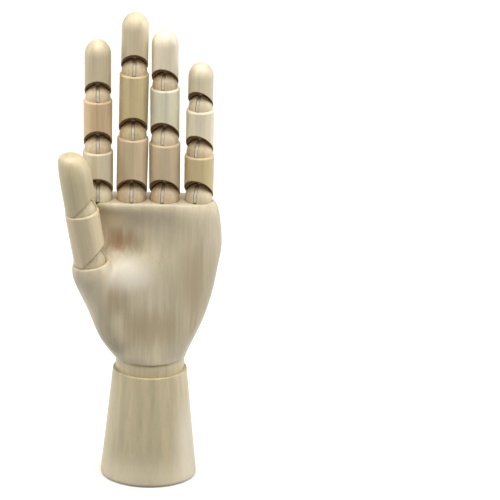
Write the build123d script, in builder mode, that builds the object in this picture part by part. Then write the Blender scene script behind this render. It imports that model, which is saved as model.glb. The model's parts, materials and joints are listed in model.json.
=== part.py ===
from build123d import *
import os
from collections import namedtuple
from math import sqrt, tan, radians, sin, cos

os.makedirs("parts", exist_ok=True)

# A jointed wooden hand on a turned base, a left hand with its palm to the front (-Y).
# Millimetres, +Z up, origin at the middle of the base's underside.

# Turned base
BASE_FOOT_RADIUS = 24.5
BASE_TOP_RADIUS = 18.9
BASE_HEIGHT = 57.4
BASE_EDGE = 2.0
BASE_RIM_CHAMFER = 0.6
BASE_BORE_RADIUS = 2.8
POCKET_RADIUS = 7.2
POCKET_DEPTH = 26.0

# Wrist ball and the steel parts that hold it down
WRIST_BALL_RADIUS = 17.6
WRIST_HEIGHT = 60.7
WRIST_SEAT_GAP = 0.12
WRIST_TILT = 18.0
WRIST_SWING_SPARE = 3.0
WRIST_TONGUE_THICK = 3.0
WRIST_TONGUE_WIDE = 8.0
WRIST_TONGUE_REACH = 31.0
WRIST_EYE_RADIUS = 4.6
WRIST_PIN_RADIUS = 2.0
ROD_RADIUS = 2.5
ROD_FOOT = 4.0
ROD_IN_BALL = 8.5
NUT_ACROSS_FLATS = 8.0
NUT_HEIGHT = 4.0
NUT_FOOT = 6.0
WASHER_RADIUS = 6.0
WASHER_THICK = 1.0
SPRING_WIRE_RADIUS = 0.65
SPRING_RADIUS = 5.0
SPRING_TURNS = 6
SPRING_GAP = 0.1

# Ball joints of the fingers and the thumb
BALL_RATIO = 0.92
RIM_DROP = 1.0
RIM_CHAMFER = 0.45
RIM_FLARE = 0.15
LIP_GAP = 0.3
FOOT = LIP_GAP - RIM_DROP
TIP_STEPS = (0, 0.4, 0.7, 0.9, 0.98)
TIP_ROUND = 0.12
GLUE_GAP = 0.05
BALL_GAP = 0.12
RELIEF = 0.2
RELIEF_FOOT = 0.5
FINGER_SCOOP = (0.5, 1.12)
THUMB_SCOOP = (0.15, 0.85)
TONGUE_THICK = 1.4
TONGUE_WIDE = 3.4
TONGUE_GRIP = 8.0
EYE_RADIUS = 2.2
PIN_RADIUS = 0.75
PIN_INSET = 0.8
RUNNING_GAP = 0.05
SLOT_GAP = 0.2
STUD_RADIUS = 1.25
STUD_GRIP = 8.0

# Palm
PALM_TOP = 148.6
PALM_FOOT = 63.9
THUMB_ROOM = 0.9

# Each digit: the centre of its knuckle ball, the way it points, how far its palm side is turned
# from the front, how far up it the ball centres and the tip are, the radius of each segment,
# the height and outward shift of the domed tip, and the scoops' start at the side, as a share
# of the radius, and slope.
Digit = namedtuple("Digit", "name foot axis turn joints tip radii dome shift scoop")
KNUCKLE_HEIGHT = 149.6
DIGITS = [
    Digit(
        name="index",
        foot=Vector(-27.7, 0, KNUCKLE_HEIGHT),
        axis=Vector(-0.013, 0, 1),
        turn=0.0,
        joints=(0, 25.8, 53.2),
        tip=85.1,
        radii=(7.7, 7.25, 6.8),
        dome=8.0,
        shift=0.0,
        scoop=FINGER_SCOOP,
    ),
    Digit(
        name="middle",
        foot=Vector(-10.6, 0, KNUCKLE_HEIGHT),
        axis=Vector(0.008, 0, 1),
        turn=0.0,
        joints=(0, 33.4, 67.6),
        tip=100.4,
        radii=(7.85, 7.35, 6.9),
        dome=8.0,
        shift=0.0,
        scoop=FINGER_SCOOP,
    ),
    Digit(
        name="ring",
        foot=Vector(6.2, 0, KNUCKLE_HEIGHT),
        axis=Vector(-0.010, 0, 1),
        turn=-10.0,
        joints=(0, 30.8, 60.2),
        tip=90.8,
        radii=(7.85, 7.4, 6.85),
        dome=8.0,
        shift=0.0,
        scoop=FINGER_SCOOP,
    ),
    Digit(
        name="little",
        foot=Vector(23.5, 0, KNUCKLE_HEIGHT),
        axis=Vector(0.004, 0, 1),
        turn=-16.0,
        joints=(0, 24.4, 48.8),
        tip=73.4,
        radii=(7.45, 7.05, 6.45),
        dome=7.5,
        shift=0.0,
        scoop=FINGER_SCOOP,
    ),
    Digit(
        name="thumb",
        foot=Vector(-30.9, -13.1, 119.4),
        axis=Vector(-0.170, -0.105, 0.975),
        turn=75.0,
        joints=(0, 29.0),
        tip=61.4,
        radii=(8.6, 8.3),
        dome=15.0,
        shift=1.0,
        scoop=THUMB_SCOOP,
    ),
]
JOINT_NAMES = {2: ("knuckle", "end_joint"), 3: ("knuckle", "middle_joint", "end_joint")}
SEGMENT_NAMES = {2: ("proximal", "distal"), 3: ("proximal", "middle", "distal")}


def flank_of(frame):
    """The plane through a joint's axis whose x points to the palm side and y along the finger."""
    return Plane(frame.origin, x_dir=-frame.y_dir, z_dir=-frame.x_dir)


def axis_of(frame):
    return Axis(frame.origin, frame.z_dir)


def save(builder, name):
    builder.part.label = name
    export_step(builder.part, f"parts/{name}.step")


def make_ball(name, frame, radius, stud=False):
    """A wooden ball with the slot that its tongue swings in and the bore for the pin."""
    eye = EYE_RADIUS + SLOT_GAP
    reach = 2 * radius
    with BuildPart(frame) as ball:
        Sphere(radius)
        with BuildSketch(flank_of(frame)):
            Circle(eye)
            with Locations((-eye, 0)):
                Rectangle(reach + eye, reach, align=(Align.MIN, Align.MIN))
            Rectangle(reach, eye, align=(Align.MIN, Align.MAX))
        extrude(amount=TONGUE_THICK / 2 + SLOT_GAP, both=True, mode=Mode.SUBTRACT)
        with BuildSketch(flank_of(frame)):
            Circle(PIN_RADIUS + RUNNING_GAP)
        extrude(amount=reach, both=True, mode=Mode.SUBTRACT)
        if stud:
            Cylinder(
                STUD_RADIUS + RUNNING_GAP,
                reach,
                align=(Align.CENTER, Align.CENTER, Align.MAX),
                mode=Mode.SUBTRACT,
            )
    save(ball, name)


def make_hinge(name, frame, ball_radius):
    """A steel tongue with an eye and the cross pin riveted through it."""
    with BuildPart(frame) as hinge:
        with BuildSketch(flank_of(frame)):
            Circle(EYE_RADIUS)
            Rectangle(
                TONGUE_WIDE,
                ball_radius + RELIEF + TONGUE_GRIP,
                align=(Align.CENTER, Align.MIN),
            )
        extrude(amount=TONGUE_THICK / 2, both=True)
        with BuildSketch(flank_of(frame)):
            Circle(PIN_RADIUS)
        extrude(amount=ball_radius - PIN_INSET, both=True)
    save(hinge, name)


def make_segment(name, frame, radius, scoop, top, next_ball):
    """A turned segment with a scooped socket below and, above, a cup for the next ball."""
    with BuildPart(frame) as segment:
        rim = radius + RIM_FLARE
        with BuildSketch(flank_of(frame)):
            Polygon(
                (0, FOOT),
                (radius, FOOT),
                (rim, top - RIM_CHAMFER),
                (rim - RIM_CHAMFER, top),
                (0, top),
                align=None,
            )
        revolve(axis=axis_of(frame))
        with Locations((0, 0, top + RIM_DROP)):
            Sphere(next_ball + GLUE_GAP, mode=Mode.SUBTRACT)
        cut_socket(frame, radius, scoop)
    save(segment, name)


def make_tip(name, frame, radius, scoop, top, dome, shift):
    """The last segment: a scooped socket below and a domed tip that may lean to its back."""
    with BuildPart(frame) as segment:
        shoulder = top - dome
        with BuildSketch(frame.offset(FOOT)):
            Circle(radius)
        extrude(amount=shoulder - FOOT)
        for up in TIP_STEPS:
            middle = frame.origin + frame.z_dir * (shoulder + dome * up)
            middle += frame.y_dir * (shift * up * up)
            with BuildSketch(Plane(middle, x_dir=frame.x_dir, z_dir=frame.z_dir)):
                Circle(radius * sqrt(1 - up * up))
        loft()
        end = segment.faces().sort_by(axis_of(frame))[-1]
        fillet(end.edges(), radius * TIP_ROUND)
        cut_socket(frame, radius, scoop)
    save(segment, name)


def cut_socket(frame, radius, scoop):
    """Cuts a segment's lower end: the ball's socket, the scoop and the slot for the tongue."""
    ball_radius = BALL_RATIO * radius
    side, slope = scoop[0] * radius, scoop[1]
    relief = radius + RELIEF
    flank = flank_of(frame)
    Sphere(ball_radius + BALL_GAP, mode=Mode.SUBTRACT)
    with BuildSketch(flank) as hollow:
        Circle(relief)
        with Locations((0, RELIEF_FOOT * radius)):
            Rectangle(relief, relief, align=(Align.MIN, Align.MIN), mode=Mode.INTERSECT)
    revolve(hollow.sketch, axis=axis_of(frame), mode=Mode.SUBTRACT)
    heel = -(side - FOOT) / slope
    front = 2 * radius
    with BuildSketch(flank) as cut:
        Polygon(
            (heel, FOOT),
            (front, FOOT + (front - heel) * slope),
            (front, FOOT - LIP_GAP),
            (heel, FOOT - LIP_GAP),
            align=None,
        )
    extrude(cut.sketch, amount=front, both=True, mode=Mode.SUBTRACT)
    Box(
        TONGUE_THICK,
        TONGUE_WIDE,
        ball_radius + RELIEF + TONGUE_GRIP,
        align=(Align.CENTER, Align.CENTER, Align.MIN),
        mode=Mode.SUBTRACT,
    )


def joint_frame(digit, along):
    """A plane on a digit's axis, with x along its flexing axis and z towards its tip."""
    turned = radians(digit.turn)
    facing = Vector(sin(turned), -cos(turned), 0)
    axis = digit.axis.normalized()
    across = axis.cross(facing).normalized()
    return Plane(digit.foot + axis * along, x_dir=across, z_dir=axis)


def make_digit(digit):
    """All the pieces of one finger or thumb, from its knuckle ball to its tip."""
    frames = [joint_frame(digit, along) for along in digit.joints]
    balls = [BALL_RATIO * radius for radius in digit.radii]
    joints = JOINT_NAMES[len(frames)]
    segments = SEGMENT_NAMES[len(frames)]
    for i, frame in enumerate(frames):
        radius = digit.radii[i]
        make_ball(f"{digit.name}_{joints[i]}_ball", frame, balls[i], stud=i == 0)
        make_hinge(f"{digit.name}_{joints[i]}_hinge", frame, balls[i])
        name = f"{digit.name}_{segments[i]}"
        if i + 1 < len(frames):
            top = digit.joints[i + 1] - digit.joints[i] - RIM_DROP
            make_segment(name, frame, radius, digit.scoop, top, balls[i + 1])
        else:
            top = digit.tip - digit.joints[i]
            make_tip(name, frame, radius, digit.scoop, top, digit.dome, digit.shift)


for digit in DIGITS:
    make_digit(digit)

# The five ball joints in the palm: each ball's frame and radius
KNUCKLES = [(joint_frame(digit, 0), BALL_RATIO * digit.radii[0]) for digit in DIGITS]

# Carved palm. Each outline: its height, its left and right ends, how far the back stands out
# in the middle and near the ends, and how far the front does at four places from left to right.
PALM_OUTLINES = [
    (PALM_FOOT, -18.2, 18.2, 17.4, 12.6, (12.6, 17.4, 17.4, 12.6)),
    (72, -24.2, 21.4, 16.5, 12.5, (13.0, 17.0, 16.6, 13.0)),
    (82, -28.0, 25.9, 15.5, 12.0, (13.0, 16.5, 15.2, 13.5)),
    (94, -32.2, 30.0, 14.5, 11.5, (15.0, 17.2, 14.0, 13.2)),
    (106, -38.4, 32.8, 13.5, 11.0, (16.0, 17.8, 13.4, 12.8)),
    (115, -40.2, 34.2, 12.5, 10.5, (12.5, 15.2, 12.6, 12.4)),
    (123, -37.8, 35.0, 12.0, 10.0, (5.0, 8.5, 11.2, 12.0)),
    (131, -36.8, 34.8, 11.5, 9.8, (2.6, 5.8, 9.8, 11.5)),
    (140, -36.8, 34.0, 11.4, 9.7, (4.5, 7.5, 9.6, 11.0)),
    (146.3, -36.8, 32.6, 11.2, 9.5, (7.9, 9.7, 9.9, 9.6)),
    (PALM_TOP, -35.9, 31.2, 10.6, 8.9, (7.3, 8.6, 8.7, 8.2)),
]


def palm_points(left, right, back, back_corner, front):
    middle = (left + right) / 2
    half = (right - left) / 2
    near, far = 0.3 * half, 0.72 * half
    side = (back_corner - (front[0] + front[3]) / 2) / 2
    return [
        (right, side),
        (middle + far, back_corner),
        (middle + near, back),
        (middle - near, back),
        (middle - far, back_corner),
        (left, side),
        (middle - far, -front[0]),
        (middle - near, -front[1]),
        (middle + near, -front[2]),
        (middle + far, -front[3]),
    ]


# The root of the thumb: how far across, forward and up its centre is, and its radius, from the
# wrist up to the rim of the thumb's cup.
THUMB = joint_frame(DIGITS[-1], -RIM_DROP)
THUMB_REACH = DIGITS[-1].radii[0] + THUMB_ROOM
CUP = THUMB.origin
THUMB_ROOT = [
    (Vector(-11.5, -5.0, 70.0), 9.0),
    (Vector(-19.6, -8.0, 86.0), 10.2),
    (Vector(-27.2, -11.0, 104.0), 10.1),
    (CUP - THUMB.z_dir, 9.8),
    (CUP, 9.4),
]

with BuildPart(Plane.XY) as palm:
    for height, left, right, back, back_corner, front in PALM_OUTLINES:
        with BuildSketch(Plane.XY.offset(height)):
            with BuildLine():
                Spline(*palm_points(left, right, back, back_corner, front), periodic=True)
            make_face()
    loft()
    for centre, radius in THUMB_ROOT:
        with BuildSketch(Plane(centre, x_dir=THUMB.x_dir, z_dir=THUMB.z_dir)):
            Circle(radius)
    loft()
    with Locations(THUMB.location):
        Cylinder(
            THUMB_REACH,
            PALM_TOP,
            align=(Align.CENTER, Align.CENTER, Align.MIN),
            mode=Mode.SUBTRACT,
        )
    for frame, ball_radius in KNUCKLES:
        with Locations(frame.location):
            Sphere(ball_radius + BALL_GAP, mode=Mode.SUBTRACT)
            Cylinder(
                STUD_RADIUS,
                ball_radius + STUD_GRIP,
                align=(Align.CENTER, Align.CENTER, Align.MAX),
                mode=Mode.SUBTRACT,
            )
    with Locations((0, 0, WRIST_HEIGHT)):
        Sphere(WRIST_BALL_RADIUS + WRIST_SEAT_GAP, mode=Mode.SUBTRACT)
        Box(
            WRIST_TONGUE_THICK,
            WRIST_TONGUE_WIDE,
            WRIST_TONGUE_REACH,
            align=(Align.CENTER, Align.CENTER, Align.MIN),
            mode=Mode.SUBTRACT,
        )
save(palm, "palm")

with BuildPart(Plane.XY) as knuckle_studs:
    for frame, ball_radius in KNUCKLES:
        start = EYE_RADIUS + 2 * SLOT_GAP
        with BuildSketch(frame.offset(-start)):
            Circle(STUD_RADIUS)
        extrude(amount=-(ball_radius + STUD_GRIP - start))
save(knuckle_studs, "knuckle_studs")

# Wrist
WRIST = Plane((0, 0, WRIST_HEIGHT), x_dir=(1, 0, 0), z_dir=(0, 0, 1))
WRIST_FLANK = flank_of(WRIST)

with BuildPart(WRIST) as wrist_ball:
    Sphere(WRIST_BALL_RADIUS)
    half = WRIST_TONGUE_WIDE / 2 + SLOT_GAP
    mouth = half + WRIST_BALL_RADIUS * tan(radians(WRIST_TILT + WRIST_SWING_SPARE))
    with BuildSketch(WRIST_FLANK):
        Circle(WRIST_EYE_RADIUS + SLOT_GAP)
        Polygon(
            (-half, 0),
            (half, 0),
            (mouth, WRIST_BALL_RADIUS),
            (-mouth, WRIST_BALL_RADIUS),
            align=None,
        )
    extrude(amount=WRIST_TONGUE_THICK / 2 + SLOT_GAP, both=True, mode=Mode.SUBTRACT)
    with BuildSketch(WRIST_FLANK):
        Circle(WRIST_PIN_RADIUS + RUNNING_GAP)
    extrude(amount=WRIST_BALL_RADIUS, both=True, mode=Mode.SUBTRACT)
    with BuildSketch(WRIST.offset(-WRIST_BALL_RADIUS)):
        Circle(ROD_RADIUS)
    extrude(amount=ROD_IN_BALL, mode=Mode.SUBTRACT)
save(wrist_ball, "wrist_ball")

with BuildPart(WRIST) as wrist_hinge:
    with BuildSketch(WRIST_FLANK):
        Circle(WRIST_EYE_RADIUS)
        Rectangle(WRIST_TONGUE_WIDE, WRIST_TONGUE_REACH, align=(Align.CENTER, Align.MIN))
    extrude(amount=WRIST_TONGUE_THICK / 2, both=True)
    with BuildSketch(WRIST_FLANK):
        Circle(WRIST_PIN_RADIUS)
    extrude(amount=WRIST_BALL_RADIUS - PIN_INSET, both=True)
save(wrist_hinge, "wrist_hinge")

with BuildPart(Plane.XY) as wrist_rod:
    with BuildSketch(Plane.XY.offset(ROD_FOOT)):
        Circle(ROD_RADIUS)
    extrude(amount=WRIST_HEIGHT - WRIST_BALL_RADIUS + ROD_IN_BALL - ROD_FOOT)
save(wrist_rod, "wrist_rod")

with BuildPart(Plane.XY) as wrist_nut:
    with BuildSketch(Plane.XY.offset(NUT_FOOT)):
        RegularPolygon(NUT_ACROSS_FLATS / 2, 6, major_radius=False)
        Circle(ROD_RADIUS, mode=Mode.SUBTRACT)
    extrude(amount=NUT_HEIGHT)
save(wrist_nut, "wrist_nut")

WASHER_FOOT = NUT_FOOT + NUT_HEIGHT
with BuildPart(Plane.XY) as wrist_washer:
    with BuildSketch(Plane.XY.offset(WASHER_FOOT)):
        Circle(WASHER_RADIUS)
        Circle(ROD_RADIUS, mode=Mode.SUBTRACT)
    extrude(amount=WASHER_THICK)
save(wrist_washer, "wrist_washer")

with BuildPart(Plane.XY) as wrist_spring:
    spring_foot = WASHER_FOOT + WASHER_THICK + SPRING_WIRE_RADIUS
    spring_height = POCKET_DEPTH - SPRING_GAP - SPRING_WIRE_RADIUS - spring_foot
    with BuildLine(Plane.XY.offset(spring_foot)) as coil:
        Helix(spring_height / SPRING_TURNS, spring_height, SPRING_RADIUS)
    with BuildSketch(Plane(coil.line @ 0, z_dir=coil.line % 0)):
        Circle(SPRING_WIRE_RADIUS)
    sweep()
save(wrist_spring, "wrist_spring")

with BuildPart(Plane.XY) as base:
    with BuildSketch(Plane.XZ):
        Polygon(
            (0, 0),
            (BASE_FOOT_RADIUS, 0),
            (BASE_TOP_RADIUS, BASE_HEIGHT),
            (0, BASE_HEIGHT),
            align=None,
        )
    revolve(axis=Axis.Z)
    fillet(base.edges().filter_by(GeomType.CIRCLE).sort_by(Axis.Z)[0], BASE_EDGE)
    chamfer(base.edges().filter_by(GeomType.CIRCLE).sort_by(Axis.Z)[-1], BASE_RIM_CHAMFER)
    with Locations((0, 0, WRIST_HEIGHT)):
        Sphere(WRIST_BALL_RADIUS + WRIST_SEAT_GAP, mode=Mode.SUBTRACT)
    with BuildSketch(Plane.XY):
        Circle(BASE_BORE_RADIUS)
    extrude(amount=BASE_HEIGHT, mode=Mode.SUBTRACT)
    with BuildSketch(Plane.XY):
        Circle(POCKET_RADIUS)
    extrude(amount=POCKET_DEPTH, mode=Mode.SUBTRACT)
save(base, "base")
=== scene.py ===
"""Turns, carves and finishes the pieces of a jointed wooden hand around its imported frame."""

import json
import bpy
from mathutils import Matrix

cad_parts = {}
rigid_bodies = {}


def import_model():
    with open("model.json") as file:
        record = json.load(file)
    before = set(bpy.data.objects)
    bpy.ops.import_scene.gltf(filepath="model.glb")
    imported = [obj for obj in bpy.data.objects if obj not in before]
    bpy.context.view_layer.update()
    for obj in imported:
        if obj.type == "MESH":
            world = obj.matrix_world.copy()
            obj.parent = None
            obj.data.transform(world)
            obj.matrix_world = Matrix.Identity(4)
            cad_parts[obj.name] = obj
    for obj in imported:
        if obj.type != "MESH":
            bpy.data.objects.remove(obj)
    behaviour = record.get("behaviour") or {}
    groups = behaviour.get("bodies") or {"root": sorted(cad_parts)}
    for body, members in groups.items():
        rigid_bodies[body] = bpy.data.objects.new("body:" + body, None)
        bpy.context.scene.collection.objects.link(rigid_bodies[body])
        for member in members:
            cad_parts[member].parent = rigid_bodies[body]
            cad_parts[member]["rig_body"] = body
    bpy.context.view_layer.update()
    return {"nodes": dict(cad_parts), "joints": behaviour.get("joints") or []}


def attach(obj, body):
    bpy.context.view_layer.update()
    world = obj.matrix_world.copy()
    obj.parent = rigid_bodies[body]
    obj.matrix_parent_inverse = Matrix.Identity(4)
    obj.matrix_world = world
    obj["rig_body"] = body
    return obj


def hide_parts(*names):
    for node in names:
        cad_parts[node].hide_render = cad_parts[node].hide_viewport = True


bl_info = {
    "name": "Jointed Wooden Hand",
    "version": (1, 0, 0),
    "blender": (4, 5, 0),
    "location": "View3D > Sidebar > Wooden Hand",
    "description": "Turns and finishes the wooden and steel pieces of a jointed hand on a round base",
    "category": "Add Mesh",
}

from math import atan, cos, pi, radians, sin

import bpy
from bpy.props import FloatProperty, FloatVectorProperty, IntProperty, PointerProperty
from mathutils import Matrix, Vector

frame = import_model()
MM = 0.001

PINS = {joint["name"]: joint for joint in frame["joints"]}
DIGITS = ("index", "middle", "ring", "little", "thumb")
FINGER_JOINTS = (("knuckle", "proximal"), ("middle_joint", "middle"), ("end_joint", "distal"))
THUMB_JOINTS = (("knuckle", "proximal"), ("end_joint", "distal"))
WRIST_STEEL = ("wrist_hinge", "wrist_rod", "wrist_nut", "wrist_washer", "wrist_spring")


def linear(code):
    """An sRGB hex colour as linear red, green and blue."""
    values = [int(code[i : i + 2], 16) / 255 for i in (1, 3, 5)]
    return tuple(v / 12.92 if v <= 0.04045 else ((v + 0.055) / 1.055) ** 2.4 for v in values)


def opaque(colour):
    return (*colour, 1.0)


def length(name, description, default):
    """A size in millimetres, kept in metres."""
    return FloatProperty(
        name=name,
        description=description,
        default=default * MM,
        unit="LENGTH",
        precision=5,
    )


def lengths(name, description, *default):
    """Sizes in millimetres, kept in metres."""
    return FloatVectorProperty(
        name=name,
        description=description,
        size=len(default),
        default=[value * MM for value in default],
        unit="LENGTH",
        precision=5,
    )


def ratio(name, description, default):
    """A plain number, such as one size over another."""
    return FloatProperty(name=name, description=description, default=default)


def colour(name, description, code):
    """A colour given by its sRGB hex code."""
    return FloatVectorProperty(
        name=name,
        description=description,
        size=3,
        subtype="COLOR",
        min=0,
        max=1,
        default=linear(code),
    )


class DigitSizes(bpy.types.PropertyGroup):
    """Sizes of the turned finger and thumb pieces."""

    index: lengths("Index radii", "Radii of the index finger's segments, knuckle first", 7.7, 7.25, 6.8)
    middle: lengths("Middle radii", "Radii of the middle finger's segments", 7.85, 7.35, 6.9)
    ring: lengths("Ring radii", "Radii of the ring finger's segments", 7.85, 7.4, 6.85)
    little: lengths("Little radii", "Radii of the little finger's segments", 7.45, 7.05, 6.45)
    thumb: lengths("Thumb radii", "Radii of the thumb's segments", 8.6, 8.3)
    tips: lengths("Tip lengths", "End joint to tip, index to thumb", 30.8, 31.2, 29.8, 23.8, 31.0)
    domes: lengths("Dome heights", "Height of the rounded tips, index to thumb", 8, 8, 8, 7.5, 15)
    thumb_lean: length("Thumb lean", "How far the thumb's tip leans outwards", 4.4)
    thumb_blunt: ratio("Thumb bluntness", "1 is a round dome, less is blunter", 0.45)
    foot_round: length("Foot rounding", "Rounding of a segment's lower edge", 0.08)
    ball_share: ratio("Ball share", "Ball radius over segment radius", 0.95)
    drop: length("Rim drop", "How far a cup's rim lies below its ball's centre", 1.0)
    lip: length("Lip gap", "Gap between a cup's rim and the segment above", 0.3)
    rim: length("Rim rounding", "Rounding of the rims", 0.9)
    flare: length("Rim flare", "How much wider a segment is at its rim", 0.15)
    relief: length("Socket relief", "Room over the segment radius at the top of a socket", 0.2)
    play: length("Ball play", "Gap between a ball and the socket above it", 0.1)
    scoop_start: ratio("Scoop start", "Height of a finger's scoop at the side, over its radius", 0.5)
    scoop_slope: ratio("Scoop slope", "Rise of a finger's scoop", 1.08)
    knuckle_slope: ratio("Knuckle slope", "Rise of a knuckle's scoop", 1.02)
    thumb_scoop_start: ratio("Thumb scoop start", "Height of a thumb's scoop over its radius", 0.15)
    thumb_scoop_slope: ratio("Thumb scoop slope", "Rise of a thumb's scoop", 0.85)
    arch_back: length("Arch back", "How far behind the pin an arch over a ball ends", 0.3)
    arch_share: ratio("Arch share", "Arch height over the scoop's rise", 0.97)
    slot: length("Slot width", "Width of the sawn slot in each ball", 1.8)
    tongue: lengths("Tongue", "Thickness, width, grip and set-back of the tongues", 1.4, 1.8, 8.0, 1.3)
    eye: length("Eye", "Radius of a tongue's eye", 2.2)
    pin: length("Pin", "Radius of the cross pins", 0.75)
    plug: length("Plug", "Length of the wooden plug at each end of a pin", 2.2)
    gap: length("Running gap", "Gap round the moving steel parts", 0.05)
    blade: length("Blade depth", "How far the steel blade lies below the ball's surface", 0.3)


class BodySizes(bpy.types.PropertyGroup):
    """Sizes of the base, the wrist and the palm."""

    foot: length("Base foot radius", "Radius of the base at its foot", 24.5)
    top: length("Base top radius", "Radius of the base at its top", 18.9)
    height: length("Base height", "Height of the base", 57.4)
    foot_round: length("Foot rounding", "Rounding of the base's lower edge", 2.0)
    rim_round: length("Base rim rounding", "Rounding of the base's upper edge", 0.35)
    wrist: length("Wrist ball radius", "Radius of the wrist ball", 17.6)
    wrist_height: length("Wrist height", "Height of the wrist ball's centre", 60.7)
    seat_gap: length("Seat gap", "Gap between the wrist ball and its seats", 0.12)
    bore: length("Base bore", "Radius of the bore through the base", 2.8)
    pocket: lengths("Pocket", "Radius and depth of the spring's pocket", 7.2, 26.0)
    palm_detail: length("Palm detail", "Finest detail kept in the palm", 0.6)
    palm_sanding: IntProperty(
        name="Palm sanding",
        description="Rounds of smoothing on the palm",
        default=8,
    )
    heel_sanding: IntProperty(
        name="Heel sanding",
        description="Further rounds below the ball of the thumb",
        default=220,
    )


class WoodTones(bpy.types.PropertyGroup):
    """Tones of the wooden blanks, the heartwood, the painted light and painted shade, the cut ends, the
    steel and the stage.
    """

    cream: colour("Cream blank", "Palest sapwood", "#E3D5B4")
    sand: colour("Sand blank", "Everyday sapwood", "#DBCAA6")
    rose: colour("Rose blank", "Pinkish blank", "#DFC195")
    straw: colour("Straw blank", "Yellow-green blank", "#D5C08F")
    ash: colour("Ash blank", "Cool, nearly grey blank", "#EAE3C4")
    clay: colour("Clay blank", "Greyish pink blank", "#DAC49E")
    # The milky blank's own tone, which the palm and base patches also use as painted light
    milk: colour("Milky blank", "Whitest sapwood", "#F6E8C9")
    palm: colour("Palm blank", "The palm's wood", "#D5C7A8")
    heart: colour("Heartwood", "Brown heartwood patch in the palm", "#9E7048")
    # Painted light: a whitish highlight where the top light falls on the ball of the thumb, and the base's
    # lit right side
    pale: colour("Painted light", "Whitish patch on the ball of the thumb", "#F4ECDC")
    # Painted shade: low in the palm, under the ball of the thumb, in the hollow beside it and along the
    # palm's outer edge, where the top light reaches less
    dim: colour("Painted shade", "Painted shade low in the palm, beside the thumb and along its outer edge", "#A48F66")
    stone: colour("Base blank", "The base's greyish olive wood", "#CFC09A")
    steel: colour("Steel", "Plain drawn steel", "#D0C6B2")
    # The cut ends' tone: darker than the blanks, partly as bare end grain is and partly as painted shade in
    # the scoops and sockets
    socket: colour("Cut ends", "Unlacquered end grain in the sockets and scoops", "#C2A276")
    floor: colour("Floor", "Pale floor", "#F6F5F3")


class HAND_PG_settings(bpy.types.PropertyGroup):
    """Everything that a user would change."""

    digits: PointerProperty(type=DigitSizes)
    body: PointerProperty(type=BodySizes)
    tones: PointerProperty(type=WoodTones)


# Which blank each wooden piece is made from
BLANKS = {
    "index_proximal": "cream",
    "index_middle": "rose",
    "index_distal": "sand",
    "middle_proximal": "clay",
    "middle_middle": "straw",
    "middle_distal": "sand",
    "ring_proximal": "clay",
    "ring_middle": "ash",
    "ring_distal": "milk",
    "little_proximal": "straw",
    "little_middle": "milk",
    "little_distal": "cream",
    "thumb_proximal": "sand",
    "thumb_distal": "stone",
    "index_knuckle_ball": "cream",
    "index_middle_joint_ball": "clay",
    "index_end_joint_ball": "clay",
    "middle_knuckle_ball": "clay",
    "middle_middle_joint_ball": "straw",
    "middle_end_joint_ball": "clay",
    "ring_knuckle_ball": "clay",
    "ring_middle_joint_ball": "sand",
    "ring_end_joint_ball": "clay",
    "little_knuckle_ball": "sand",
    "little_middle_joint_ball": "clay",
    "little_end_joint_ball": "sand",
    "thumb_knuckle_ball": "sand",
    "thumb_end_joint_ball": "sand",
    "wrist_ball": "stone",
    "base": "stone",
    "palm": "palm",
}

# Patches in a blank: tone, centre and reach in metres, and strength. The palm's heartwood is the wood's own
# tone; the rest are painted light and painted shade, laid where light falls or shade gathers
PATCHES = {
    "base": (
        # Painted light: the floor's bounce, lightening the base low in front
        ("milk", (0.0, -0.02, 0.0), (0.045, 0.045, 0.018), 0.55),
        # Painted light on the base's right side, where the right panel falls
        ("pale", (0.02, -0.015, 0.02), (0.009, 0.03, 0.03), 0.4),
    ),
    "palm": (
        # Painted highlight where the top light falls on the ball of the thumb
        ("pale", (-0.0105, -0.012, 0.1115), (0.016, 0.03, 0.01), 0.72),
        # Painted light along the palm's edge below the thumb
        ("milk", (-0.0305, -0.005, 0.1), (0.009, 0.03, 0.024), 1.0),
        # Painted shade under the ball of the thumb
        ("dim", (-0.0175, -0.01, 0.0985), (0.0085, 0.03, 0.013), 0.65),
        # Painted shade in the hollow beside the thumb
        ("dim", (-0.0095, -0.006, 0.127), (0.01, 0.03, 0.0075), 0.55),
        # Painted shade low in the palm, which faces away from the top light
        ("dim", (-0.001, -0.012, 0.084), (0.025, 0.03, 0.014), 0.6),
        # Painted shade along the palm's outer edge
        ("dim", (0.0205, -0.012, 0.107), (0.011, 0.03, 0.034), 0.5),
        # Painted light under the palm's ridge, lifting the shade that the ridge and the thumb cast
        ("milk", (-0.0185, 0.0, 0.139), (0.011, 0.02, 0.007), 0.9),
        ("heart", (-0.0165, 0.0, 0.1275), (0.0095, 0.02, 0.0095), 0.7),
    ),
}

# Millimetres between growth stripes. The balls come from slow-grown wood, with its rings close together.
WIDE_RINGS = 3.6
BALL_RINGS = 1.3

# Cutters: a block larger than any finger piece, and a rod longer than the base is high
BLOCK = 60 * MM
ROD = 200 * MM
CARVE = {"operation": "DIFFERENCE", "solver": "MANIFOLD"}
OVERLAP = {"operation": "INTERSECT", "solver": "MANIFOLD"}
JOIN = {"operation": "UNION", "solver": "MANIFOLD"}

# How a rim or dome closes: 1 is a round quarter, and 2 an eased edge, as sandpaper leaves it
ROUND = 1
EASED = 2

# Edges sharper than this stay sharp
CREASE = radians(28)

# Raw end grain, darker partly of its own and partly as painted shade, is where a face points down more than
# this, or lies nearer the axis and lower than these shares of the radius
FACES_DOWN = -0.3
INNER_REACH = 0.97
INNER_HEIGHT = 1.9

# How far below level the blade reaches in front. At a full bend it still clears the stud.
BLADE_SLANT = radians(14)

# Where the heel of the hand is sanded further, in metres. Each pair runs from not at all to fully: up from
# the wrist, down from the fingers, forward from the back, and away from the thumb's cup.
HEEL_FOOT = (0.068, 0.074)
HEEL_TOP = (0.126, 0.114)
HEEL_BACK = (0.004, -0.002)
HEEL_CUP = (0.0125, 0.0185)

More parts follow.
